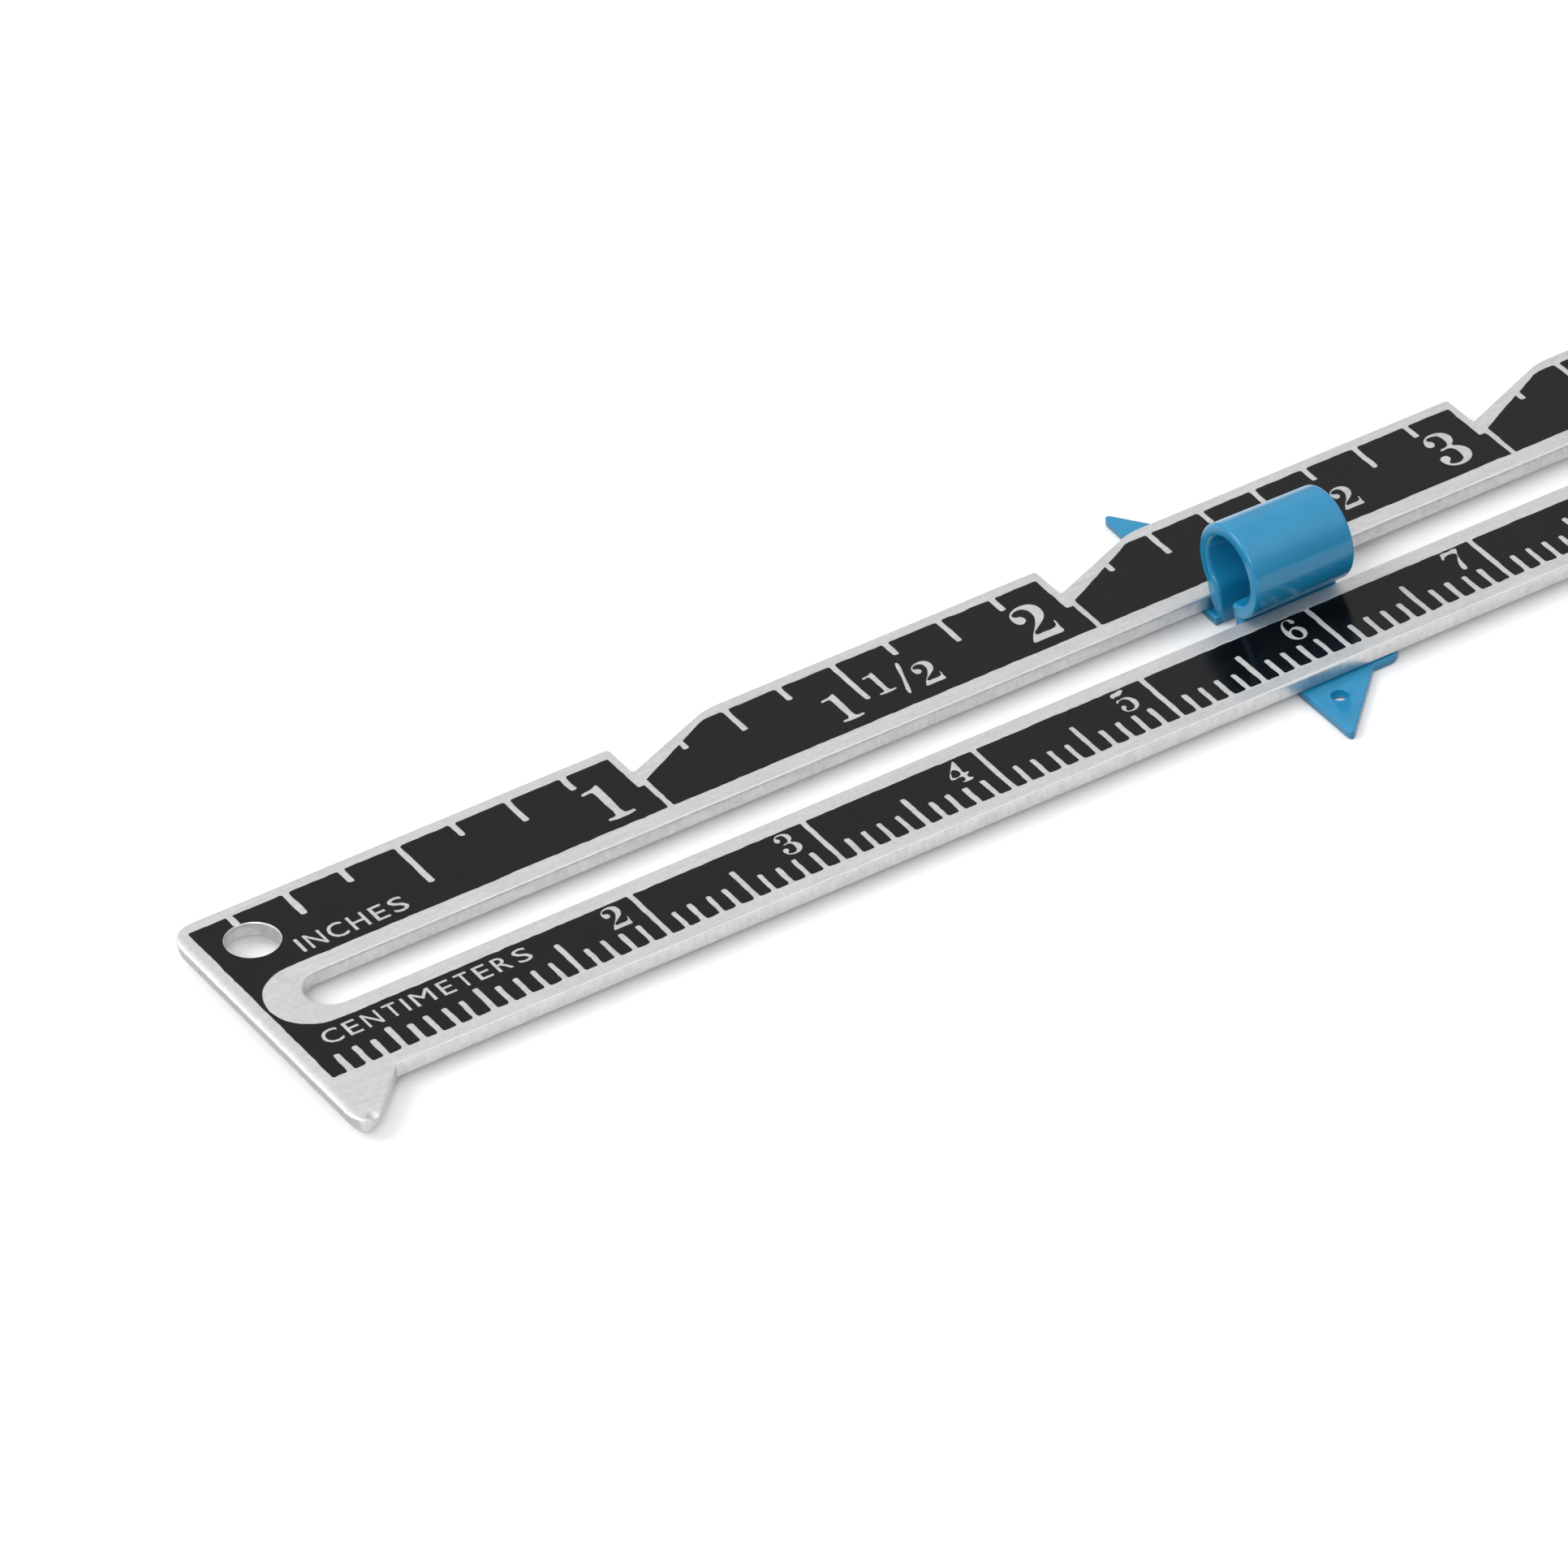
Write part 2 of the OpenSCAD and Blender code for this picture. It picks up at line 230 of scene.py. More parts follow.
# The metal that the print surrounds stays matt, because nothing rubs it. The back is plain.
clouds = speckle(add, spot, 420, 2, 0.5)
blasted = reckon(add, "MULTIPLY_ADD", is_flat, 0.26, 0.4)
rough = reckon(add, "ADD", blasted, fade(add, clouds, 0.3, 0.7, -0.06, 0.06))
across = reckon(add, "ABSOLUTE", place.outputs["Y"])
not_back = fade(add, facing.outputs["Z"], -0.5, -0.3)
slot_side, edge_side = (2.3 * mm, 2.5 * mm), (6.1 * mm, 6.3 * mm)
end_side = (rule_low.x + 0.7 * mm, rule_low.x + 0.9 * mm)
past_slot = fade(add, across, *slot_side)
before_edge = fade(add, across, *edge_side, not_back, 0)
past_end = fade(add, place.outputs["X"], *end_side, 0, before_edge)
printed = reckon(add, "MULTIPLY", past_slot, past_end)
matt = reckon(add, "MULTIPLY_ADD", printed, 0.3, rough)

# Fine relief all over, and one small dent in the point
relief = add("ShaderNodeBump", {"Height": marks, "Strength": 0.3, "Distance": 0.03 * mm}).outputs[0]
dent_place, dent_depth = (rule_low.x + 1 * mm, -9.6 * mm, rule_high.z), 0.14 * mm
dent_floor_r, dent_r = 0.1 * mm, 0.35 * mm
from_dent = add(
    "ShaderNodeVectorMath", {0: spot, 1: dent_place}, operation="DISTANCE").outputs["Value"]
dent = fade(add, from_dent, dent_floor_r, dent_r, 1, 0)
dented = add("ShaderNodeBump", {
    "Height": dent, "Normal": relief, "Strength": 1, "Distance": dent_depth}, invert=True).outputs[0]
wire(tree, shader, {"Base Color": grain_sheen_and_end_light, "Metallic": 1, "Roughness": matt, "Normal": dented})

bm = bmesh.new()
outline = [(0, point_low, point_r), (near_edge - point_low, near_edge, inner_corner_r),
           (rule_l, near_edge, corner_r), (rule_l, inch_edge, corner_r)]
for i in range(inches - 1, 0, -1):
    outline += [(i * inch + notch_l, inch_edge, notch_bend_r),
                (i * inch, inch_edge - notch_depth, inner_corner_r), (i * inch, inch_edge, notch_lip_r)]
outline.append((0, inch_edge, worn_corner_r))
blank(bm, outline)
punch(bm, slot_end, 0, slot_r, pull=rule_l - 2 * slot_end)
punch(bm, hole_x, hole_y, hole_r)
fill_blank(bm)
thicken(bm, rule_t, sheet_rim)

# The zero end is rubbed down: its top rolls over and its face is low. Its point took a knock.
roll_l, roll_h, end_back = 0.5, 0.13, 0.2
roll_cuts = (0.04, 0.1, 0.17, 0.25, 0.33, 0.41, roll_l)
level_cuts = (-0.15, 0, 0.15)
for normal, cuts in (((1, 0, 0), roll_cuts), ((0, 0, 1), level_cuts)):
    for cut in cuts:
        near_end = [f for f in bm.faces if min(v.co.x for v in f.verts) < roll_l]
        near_end += dict.fromkeys(g for f in near_end for g in (*f.verts, *f.edges))
        bmesh.ops.bisect_plane(
            bm, geom=near_end, dist=snap, plane_co=[cut * n for n in normal], plane_no=normal)
knock_place, knock_r = Vector((1.1, -9.7, rule_t / 2)), 0.7
knock_push = Vector((0.08, -0.1, -0.2))
for v in bm.verts:
    to_end = max(0, 1 - v.co.x / roll_l)
    if to_end:
        raised = (v.co.z / rule_t + 0.5) ** 2
        v.co.z -= roll_h * raised * to_end ** 2
        v.co.x += end_back * (1 - raised) * to_end
    v.co += knock_push * max(0, 1 - (v.co - knock_place).length / knock_r)
middle_z = (rule_low.z + rule_high.z) / 2
make_piece("slotted_rule", bm, Matrix.Translation((rule_low.x, 0, middle_z)), aluminium,
           "rule", ["blade"])


# The inch scale: semi-gloss black enamel, printed on the rule and baked, in one panel for each
# inch. Its lines, figures and legend are the bare metal that the enamel leaves uncovered.
enamel_t = 0.02
inch_line_top, inch_line_w, line_r = 7.45, 0.34, 0.12
half_line, quarter_line, eighth_line, first_line = 3.35, 1.95, 1.12, 1.55
bare_rim_r, bare_end_r = 2.43, 2.42
end_in, foot_in = 0.87, 1.02
overrun = 1
print_seed = random.Random(4)
noise.seed_set(4)


def jitter(spread):
    """The next small error of the print, up to the spread either way."""
    return print_seed.uniform(-spread, spread)


def cut_line(bm, x, tip, root, width):
    """Opens a line in the panels at x, from root at their edge to its tip."""
    for side in (-1, 1):
        bmesh.ops.bisect_plane(
            bm, geom=bm.verts[:] + bm.edges[:] + bm.faces[:], dist=snap,
            plane_co=(x + side * width / 2, 0, 0), plane_no=(1, 0, 0))
    strip = [f for f in bm.faces if abs(f.calc_center_median().x - x) < width / 2]
    around = dict.fromkeys(g for f in strip for g in (*f.verts, *f.edges))
    bmesh.ops.bisect_plane(
        bm, geom=[*around, *strip], dist=snap, plane_co=(0, tip, 0), plane_no=(0, 1, 0))
    gone = [f for f in bm.faces if abs(f.calc_center_median().x - x) < width / 2
            and min(tip, root) < f.calc_center_median().y < max(tip, root)]
    bmesh.ops.delete(bm, geom=gone, context="FACES")


def join_panels(bm, lines, root):
    """Makes each panel one face again, and rounds the tips and the roots of its lines."""
    close = 1e-3
    bmesh.ops.dissolve_faces(bm, faces=bm.faces[:], use_verts=False)
    beside = {v: tip for v in bm.verts for x, tip, width in lines
              if abs(abs(v.co.x - x) - width / 2) < close}
    for v, tip in beside.items():
        if min(abs(v.co.y - tip), abs(v.co.y - root)) < close:
            bmesh.ops.bevel(
                bm, geom=[v], offset=line_r, offset_type="OFFSET", segments=3, profile=0.5,
                affect="VERTICES", material=-1)


def roughen(bm):
    """Wanders the printed edges a little, as ink does on metal."""
    longest, halvings = 0.45, 8
    wander, fine_share = 0.035, 0.8
    for _ in range(halvings):
        long_edges = [e for e in bm.edges if e.calc_length() > longest]
        if not long_edges:
            break
        bmesh.ops.subdivide_edges(bm, edges=long_edges, cuts=1)
    for v in bm.verts:
        coarse = noise.noise_vector(Vector((v.co.x * 1.9, v.co.y * 1.9, 3)))
        fine = noise.noise_vector(Vector((v.co.x * 6.3, v.co.y * 6.3, 9)))
        v.co += Vector((coarse.x + fine_share * fine.x, coarse.y + fine_share * fine.y, 0)) * wander


def add_loop(bm, points):
    """A smooth closed line through the points, as a hole or an island in the print."""
    path = bpy.data.curves.new("drawn_line", "CURVE")
    path.dimensions, path.fill_mode, path.resolution_u = "2D", "NONE", 3
    spline = path.splines.new("BEZIER")
    spline.bezier_points.add(len(points) - 1)
    for knot, (x, y) in zip(spline.bezier_points, points):
        knot.co = (x, y, 0)
        knot.handle_left_type = knot.handle_right_type = "AUTO"
    spline.use_cyclic_u = True
    holder = bpy.data.objects.new("drawn_line", path)
    bm.from_mesh(holder.to_mesh())
    holder.to_mesh_clear()
    bpy.data.objects.remove(holder)
    bpy.data.curves.remove(path)


def ellipse(x, y, rx, ry, steps=14):
    """Points around an ellipse with its middle at x, y."""
    turns = [2 * math.pi * i / steps for i in range(steps)]
    return [(x + rx * math.cos(turn), y + ry * math.sin(turn)) for turn in turns]


# Roman figures with heavy stems and fine hairlines, one high, their left side on x = 0
six = [(0.357, 1), (0.251, 0.971), (0.135, 0.865), (0.048, 0.691), (0, 0.498), (0, 0.324),
       (0.048, 0.151), (0.135, 0.054), (0.27, 0), (0.405, 0.015), (0.541, 0.112), (0.608, 0.266),
       (0.614, 0.382), (0.569, 0.498), (0.483, 0.585), (0.376, 0.61), (0.27, 0.575), (0.18, 0.517),
       (0.154, 0.595), (0.164, 0.71), (0.212, 0.865), (0.27, 0.942), (0.338, 0.971), (0.396, 0.942),
       (0.415, 0.865), (0.415, 0.80), (0.43, 0.77), (0.483, 0.734), (0.56, 0.788), (0.56, 0.884),
       (0.502, 0.971), (0.434, 0.996)]
six_eye = ellipse(0.31, 0.286, 0.135, 0.222)
figures = {
    "0": [ellipse(0.31, 0.5, 0.3, 0.5, 18), ellipse(0.31, 0.5, 0.15, 0.44, 18)],
    "1": [[(0.02, 0), (0.535, 0), (0.55, 0.03), (0.545, 0.062), (0.46, 0.07), (0.40, 0.08),
           (0.365, 0.115), (0.365, 0.5), (0.365, 0.985), (0.352, 1), (0.33, 0.995), (0.23, 0.95),
           (0.105, 0.93), (0.02, 0.912), (-0.005, 0.875), (0, 0.85), (0.05, 0.843), (0.15, 0.855),
           (0.18, 0.84), (0.196, 0.80), (0.196, 0.45), (0.196, 0.115), (0.17, 0.08), (0.125, 0.07),
           (0.04, 0.066), (0.018, 0.036)]],
    "2": [[(0, 0.01), (0.02, 0), (0.3, 0), (0.575, 0), (0.593, 0.02), (0.60, 0.14), (0.62, 0.335),
           (0.607, 0.354), (0.593, 0.335), (0.576, 0.26), (0.555, 0.217), (0.51, 0.183),
           (0.28, 0.18), (0.17, 0.183), (0.15, 0.217), (0.25, 0.31), (0.385, 0.405),
           (0.487, 0.482), (0.564, 0.585), (0.598, 0.687), (0.602, 0.807), (0.556, 0.918),
           (0.453, 0.986), (0.333, 1), (0.214, 0.978), (0.11, 0.918), (0.05, 0.84),
           (0.026, 0.738), (0.034, 0.636), (0.068, 0.568), (0.12, 0.545), (0.188, 0.568),
           (0.234, 0.627), (0.239, 0.687), (0.205, 0.747), (0.137, 0.773), (0.103, 0.807),
           (0.094, 0.832), (0.137, 0.884), (0.214, 0.913), (0.282, 0.915), (0.35, 0.884),
           (0.393, 0.815), (0.405, 0.721), (0.385, 0.60), (0.333, 0.50), (0.248, 0.38),
           (0.128, 0.243), (0.034, 0.106)]],
    "3": [[(0.034, 0.751), (0.06, 0.86), (0.126, 0.945), (0.193, 0.987), (0.294, 1),
           (0.412, 0.978), (0.504, 0.911), (0.55, 0.81), (0.538, 0.709), (0.496, 0.625),
           (0.43, 0.553), (0.513, 0.482), (0.58, 0.382), (0.597, 0.281), (0.571, 0.18),
           (0.504, 0.087), (0.395, 0.02), (0.26, 0), (0.143, 0.025), (0.05, 0.096),
           (0.008, 0.188), (0, 0.264), (0.017, 0.323), (0.092, 0.365), (0.168, 0.34),
           (0.185, 0.281), (0.168, 0.222), (0.118, 0.18), (0.10, 0.146), (0.134, 0.104),
           (0.227, 0.079), (0.311, 0.096), (0.37, 0.146), (0.398, 0.247), (0.403, 0.348),
           (0.387, 0.432), (0.345, 0.482), (0.277, 0.50), (0.168, 0.50), (0.16, 0.521),
           (0.176, 0.541), (0.244, 0.553), (0.328, 0.575), (0.37, 0.625), (0.387, 0.718),
           (0.382, 0.827), (0.353, 0.894), (0.277, 0.928), (0.193, 0.931), (0.143, 0.903),
           (0.156, 0.852), (0.193, 0.818), (0.202, 0.768), (0.185, 0.709), (0.118, 0.667),
           (0.059, 0.692)]],
    "4": [[(0.504, 1), (0.497, 0.6), (0.494, 0.38), (0.623, 0.36), (0.594, 0.303), (0.514, 0.253),
           (0.494, 0.22), (0.504, 0.125), (0.584, 0.07), (0.564, 0.014), (0.245, 0.004),
           (0.225, 0.034), (0.325, 0.07), (0.365, 0.125), (0.355, 0.22), (0.325, 0.253),
           (0.016, 0.253), (0, 0.303), (0.006, 0.363), (0.215, 0.66), (0.48, 0.99)],
          [(0.355, 0.353), (0.355, 0.58), (0.305, 0.63), (0.255, 0.64), (0.096, 0.40),
           (0.086, 0.353)]],
    "5": [[(0.107, 0.98), (0.234, 0.986), (0.497, 1), (0.41, 0.864), (0.283, 0.791),
           (0.195, 0.805), (0.117, 0.795), (0.062, 0.766)],
          [(0.03, 0.513), (0.049, 0.60), (0.088, 0.649), (0.175, 0.64), (0.302, 0.669),
           (0.448, 0.62), (0.546, 0.483), (0.579, 0.357), (0.546, 0.191), (0.448, 0.064),
           (0.341, 0.006), (0.175, 0), (0.049, 0.064), (0, 0.172), (0, 0.25), (0.039, 0.327),
           (0.097, 0.366), (0.166, 0.318), (0.166, 0.25), (0.097, 0.172), (0.088, 0.133),
           (0.127, 0.074), (0.214, 0.064), (0.312, 0.084), (0.39, 0.191), (0.40, 0.347),
           (0.394, 0.464), (0.351, 0.542), (0.273, 0.60), (0.175, 0.591), (0.097, 0.561),
           (0.058, 0.513)]],
    "6": [six, six_eye],
    "7": [[(0.078, 1), (0.35, 1), (0.627, 1), (0.618, 0.941), (0.51, 0.725), (0.431, 0.431),
           (0.412, 0.235), (0.392, 0.098), (0.353, 0.029), (0.294, 0), (0.235, 0.039),
           (0.225, 0.137), (0.255, 0.275), (0.353, 0.51), (0.49, 0.745), (0.47, 0.814),
           (0.137, 0.824), (0.078, 0.775), (0.029, 0.716), (0, 0.735), (0.039, 0.882)]],
    "8": [[(0.3, 1), (0.42, 0.98), (0.51, 0.89), (0.53, 0.755), (0.49, 0.63), (0.42, 0.56),
           (0.53, 0.46), (0.59, 0.3), (0.56, 0.13), (0.45, 0.025), (0.3, 0), (0.15, 0.025),
           (0.04, 0.13), (0.01, 0.28), (0.07, 0.42), (0.19, 0.5), (0.1, 0.6), (0.07, 0.755),
           (0.1, 0.89), (0.18, 0.975)],
          ellipse(0.32, 0.765, 0.11, 0.17), ellipse(0.29, 0.25, 0.15, 0.19)],
    "9": [[(0.614 - x, 1 - y) for x, y in six], [(0.614 - x, 1 - y) for x, y in six_eye]]}

def engrave_number(bm, number, right, foot, height):
    """Leaves a whole number bare, its last figure ending at right."""
    usual_width, width, figure_gap = 0.62, {"1": 0.55, "5": 0.58}, 0.13
    x = right
    for digit in reversed(str(number)):
        x -= width.get(digit, usual_width) * height
        for loop in figures[digit]:
            add_loop(bm, [(x + px * height, foot + py * height) for px, py in loop])
        x -= figure_gap * height


def engrave_letter(bm, letter, left, right, foot, head, fat):
    """Leaves a plain block letter bare, fitted between left and right, its strokes made fatter."""
    text = bpy.data.curves.new("legend", "FONT")
    text.body, text.fill_mode, text.resolution_u, text.size = letter, "NONE", 3, 10
    holder = bpy.data.objects.new("legend", text)
    drawn = holder.to_mesh()
    corners = [v.co for v in drawn.vertices]
    low_x, high_x = min(c.x for c in corners), max(c.x for c in corners)
    low_y, high_y = min(c.y for c in corners), max(c.y for c in corners)
    before = set(bm.verts)
    bm.from_mesh(drawn)
    letter_verts = [v for v in bm.verts if v not in before]
    for v in letter_verts:
        v.co = (left + fat + (v.co.x - low_x) / (high_x - low_x) * (right - left - 2 * fat),
                foot + fat + (v.co.y - low_y) / (high_y - low_y) * (head - foot - 2 * fat), 0)
    follows, leads = {}, {}
    for v, after in zip(letter_verts, letter_verts[1:] + letter_verts[:1]):
        ends = [e.other_vert(v) for e in v.link_edges]
        follows[v] = after if after in ends else next(w for w in ends if w is not leads.get(v))
        leads[follows[v]] = v
    turns = sum(v.co.x * w.co.y - w.co.x * v.co.y for v, w in follows.items())
    outward = {}
    for v in letter_verts:
        along = (follows[v].co - leads[v].co).normalized()
        outward[v] = Vector((along.y, -along.x, 0)) * math.copysign(fat, turns)
    for v, step in outward.items():
        v.co += step
    holder.to_mesh_clear()
    bpy.data.objects.remove(holder)
    bpy.data.curves.remove(text)


def print_enamel(bm):
    """Fills the panels round their openings and gives the enamel its thickness."""
    weld = 0.004
    bmesh.ops.remove_doubles(bm, verts=bm.verts[:], dist=weld)
    fill_blank(bm)
    flat = bm.faces[:]
    up = bmesh.ops.extrude_face_region(bm, geom=flat)["geom"]
    bmesh.ops.translate(
        bm, verts=[g for g in up if isinstance(g, bmesh.types.BMVert)], vec=(0, 0, enamel_t))
    bmesh.ops.recalc_face_normals(bm, faces=bm.faces[:])


enamel, tree, shader, add = new_finish("black_baked_enamel")
orange_peel = speckle(add, add("ShaderNodeTexCoord").outputs["Object"], 900, 2, 0.5)
depth = ramp(add, orange_peel, [(0, (0.002, 0.002, 0.0024)), (1, (0.005, 0.005, 0.0056))])
ripple = add("ShaderNodeBump", {"Height": orange_peel, "Strength": 0.15, "Distance": 0.03 * mm})
wire(tree, shader, {
    "Base Color": depth, "Roughness": fade(add, orange_peel, 0.3, 0.7, 0.14, 0.2),
    "Specular IOR Level": 0.2, "Normal": ripple.outputs[0]})

# The panels: the outer two curve round the ends of the slot, and all but the first start at a
# notch
bm = bmesh.new()
panel_r, panel_end_r, slope_r = 0.08, 0.1, 0.9
panel_steps = 10
start_in, slope_foot_in, slope_foot, slope_head_in = 0.18, 0.2, 4.94, 5.05
stop_in, step_in, step_head = 0.13, 0.49, 4.63
stop_r, step_r, step_head_r = 0.05, 0.1, 0.12
for i in range(inches):
    start, stop = i * inch, (i + 1) * inch
    if i == 0:
        left = [(foot_in, 0, 0), (end_in, 0, 0), (end_in, inch_line_top, panel_end_r)]
    else:
        left = [(start + start_in, bare_rim_r, panel_r), (start + slope_foot_in, slope_foot, panel_r),
                (start + slope_head_in, inch_line_top, slope_r)]
    if i == inches - 1:
        right = [(rule_l - end_in, inch_line_top, panel_end_r), (rule_l - end_in, 0, 0),
                 (rule_l - foot_in, 0, 0), (rule_l - foot_in, bare_rim_r, bare_end_r)]
    else:
        right = [(stop - step_in, inch_line_top, step_head_r), (stop - step_in, step_head, step_r),
                 (stop - stop_in, step_head, stop_r), (stop - stop_in, bare_rim_r, panel_r)]
    foot = [(foot_in, bare_rim_r, bare_end_r)] if i == 0 else []
    blank(bm, list(reversed(left + right + foot)), steps=panel_steps)

# The first line runs into the hanging hole, and the others stop at their own lengths
eighth, eighths = inch / 8, 8
hole_bare_r, hole_line_w, hole_line_gap = 1.44, 0.38, 0.02
tip_error, place_error, width_error = 0.05, 0.02, 0.02
wide_extra, wide_before = 0.05, 4
hole_line_foot = hole_y + hole_bare_r
cut_line(bm, eighth, hole_line_foot + hole_line_gap, inch_line_top + overrun, hole_line_w)
lines = []
for n in range(2, inches * eighths):
    if n % eighths == 0:
        continue
    if n % 4 == 0:
        length = half_line
    elif n % 2 == 0:
        length = quarter_line
    elif n % eighths == 1:
        length = first_line
    else:
        length = eighth_line
    tip = inch_line_top - length - jitter(tip_error)
    x = n * eighth + jitter(place_error)
    width = inch_line_w + jitter(width_error) + wide_extra * (n < wide_before)
    cut_line(bm, x, tip, inch_line_top + overrun, width)
    lines.append((x, tip, width))
join_panels(bm, lines, inch_line_top)
roughen(bm)
bmesh.ops.delete(bm, geom=bm.faces[:], context="FACES_ONLY")
punch(bm, hole_x, hole_y, hole_bare_r)

# The end of the first line and the top of the hole's edge become one gap
gap_x, gap_half_w, gap_half_h, level_share = 3.19, 0.27, 0.12, 0.8
meeting = [e for e in bm.edges if all(
    abs(v.co.x - gap_x) < gap_half_w and abs(v.co.y - hole_line_foot) < gap_half_h for v in e.verts)
    and abs((e.verts[0].co - e.verts[1].co).normalized().x) > level_share]
corners = sorted({v for e in meeting for v in e.verts}, key=lambda v: v.co.x)
bmesh.ops.delete(bm, geom=meeting, context="EDGES")
bm.edges.new(corners[:2])
bm.edges.new(corners[2:])

# A large figure at the end of each inch, and a small fraction after each half
slash = [(1.9, 3.36), (2.0, 3.28), (2.07, 3.38), (2.45, 4.55), (2.8, 5.72), (2.72, 5.82), (2.63, 5.74),
         (2.27, 4.55)]
inch_figure_in, inch_figure_foot, inch_figure_h, first_figure_h = 1.53, 3.13, 3.03, 2.9
for i in range(1, inches + 1):
    height = first_figure_h if i == 1 else inch_figure_h
    engrave_number(bm, i, i * inch - inch_figure_in, inch_figure_foot, height)
for i in range(1, inches):
    half = (i + 0.5) * inch
    half_figures = ((i, -0.8, 3.18, 2.32), (1, 1.64, 4.01, 1.85), (2, 4.16, 3.29, 1.94))
    for number, past_half, foot, height in half_figures:
        engrave_number(bm, number, half + past_half, foot, height)
    add_loop(bm, [(half + x, y) for x, y in slash])
inches_foot, inches_head, inches_fat = 2.93, 4.13, 0.022
inches_at = [(4.76, 4.97), (5.26, 6.20), (6.44, 7.42), (7.69, 8.61), (8.94, 9.71), (9.97, 10.85)]
for letter, (left, right) in zip("INCHES", inches_at):
    engrave_letter(bm, letter, left, right, inches_foot, inches_head, inches_fat)
print_enamel(bm)
on_rule = Matrix.Translation((rule_low.x, 0, rule_high.z))
make_piece("inch_scale", bm, on_rule, enamel, "rule", ["inch_scale_enamel"])


# The centimetre scale: the same black enamel along the other rail, one panel for each
# centimetre. It starts beside the pointed corner, and its first figure is a 2.
bm = bmesh.new()
centimetre, last_cm, last_cm_r = 10, 15, 1.2
cm_line_foot, cm_line_w, cm_line_back = -6.15, 0.31, 0.05
millimetre_line, early_half_line, late_half_line = 1.47, 1.87, 2.5
cm_tip_error, cm_place_error, cm_print_shift, cm_wide_before = 0.06, 0.04, 0.08, 7
for i in range(1, last_cm + 1):
    start, stop = i * centimetre, (i + 1) * centimetre
    if i == 1:
        left = [(end_in, cm_line_foot, panel_end_r), (end_in, 0, 0), (foot_in, 0, 0),
                (foot_in, -bare_rim_r, bare_end_r)]
    else:
        left = [(start - cm_line_back + cm_line_w / 2, y, panel_r) for y in (cm_line_foot, -bare_rim_r)]
    if i == last_cm:
        right = [(rule_l - foot_in, -bare_rim_r, last_cm_r), (rule_l - foot_in, 0, 0),
                 (rule_l - end_in, 0, 0), (rule_l - end_in, cm_line_foot, panel_end_r)]
    else:
        right = [(stop - cm_line_back - cm_line_w / 2, y, panel_r) for y in (-bare_rim_r, cm_line_foot)]
    blank(bm, list(reversed(left + right)), steps=panel_steps)
lines = []
for n in range(2, last_cm * centimetre + 1):
    if n % centimetre == 0 and n > centimetre:
        continue
    if n % 5:
        length = millimetre_line
    elif n <= centimetre:
        length = early_half_line
    else:
        length = late_half_line
    tip = cm_line_foot + length + jitter(cm_tip_error)
    x = n - cm_print_shift + jitter(cm_place_error)
    width = cm_line_w + jitter(width_error) + wide_extra * (n < cm_wide_before)
    cut_line(bm, x, tip, cm_line_foot - overrun, width)
    lines.append((x, tip, width))
join_panels(bm, lines, cm_line_foot)
roughen(bm)
cm_figure_in, cm_figure_foot, cm_figure_h = 1, -4.33, 1.76
early_figures, early_by = (4, 5), 0.15
for i in range(2, last_cm + 1):
    right = i * centimetre - cm_figure_in
    if i in early_figures:
        right -= early_by
    engrave_number(bm, i, right, cm_figure_foot, cm_figure_h)
centimetres_foot, centimetres_head, centimetres_fat = -3.92, -2.8, 0.018
centimetres_at = [
    (1.98, 2.98), (3.26, 4.02), (4.31, 5.19), (5.51, 6.26), (6.53, 6.71), (7.03, 8.16),
    (8.54, 9.27), (9.55, 10.31), (10.58, 11.34), (11.63, 12.48), (12.79, 13.63)]
for letter, (left, right) in zip("CENTIMETERS", centimetres_at):
    engrave_letter(bm, letter, left, right, centimetres_foot, centimetres_head, centimetres_fat)
print_enamel(bm)
make_piece("centimetre_scale", bm, on_rule, enamel,
           "rule", ["centimetre_scale_enamel"])


# The slider: one moulding in blue plastic. A finger loop stands on two thin legs that pass
# through the slot, and each leg ends in a foot plate under the rule, drawn out to a pointer.
slider_low, slider_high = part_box("slider")
slider_l = (slider_high.x - slider_low.x) / mm
loop_y, loop_z, loop_out, loop_bore, loop_rim = -0.45, 4.04, 2.48, 1.8, 0.2
far_turn, near_turn, loop_steps = math.radians(50), math.radians(21), 56
leg_in = 0.64
foot_t, mould_rim = 0.5, 0.1

blue, tree, shader, add = new_finish("blue_moulded_plastic")
spot = add("ShaderNodeTexCoord").outputs["Object"]
flow = speckle(add, spot, 260, 2, 0.5)
skin = speckle(add, spot, 1500, 1, 0.5)
ripple = add("ShaderNodeBump", {"Height": skin, "Strength": 0.04, "Distance": 0.02 * mm})
wire(tree, shader, {
    "Base Color": ramp(add, flow, [(0.3, (0.010, 0.24, 0.46)), (0.7, (0.014, 0.28, 0.52))]),
    "Roughness": fade(add, skin, 0.3, 0.7, 0.16, 0.2), "Specular IOR Level": 0.6,
    "Subsurface Weight": 0.2, "Subsurface Radius": (0.15, 0.6, 1), "Subsurface Scale": 0.8 * mm,
    "Normal": ripple.outputs[0]})

# The loop's section is spun in the plane of x and y, then stood up along the rule
bm = bmesh.new()
far_wall = [bm.verts.new((loop_y + r * math.sin(far_turn), loop_z - r * math.cos(far_turn), 0))
            for r in (loop_out, loop_bore)]
wall = bm.edges.new(far_wall)


def swing(wall, centre, angle, steps):
    """Spins a wall's edge round a centre, and gives back the edge that it ends on."""
    swept = bmesh.ops.spin(
        bm, geom=[*wall.verts, wall], cent=(*centre, 0), axis=(0, 0, 1), angle=angle, steps=steps,
        use_merge=False)["geom_last"]
    return [g for g in swept if isinstance(g, bmesh.types.BMEdge)][0]


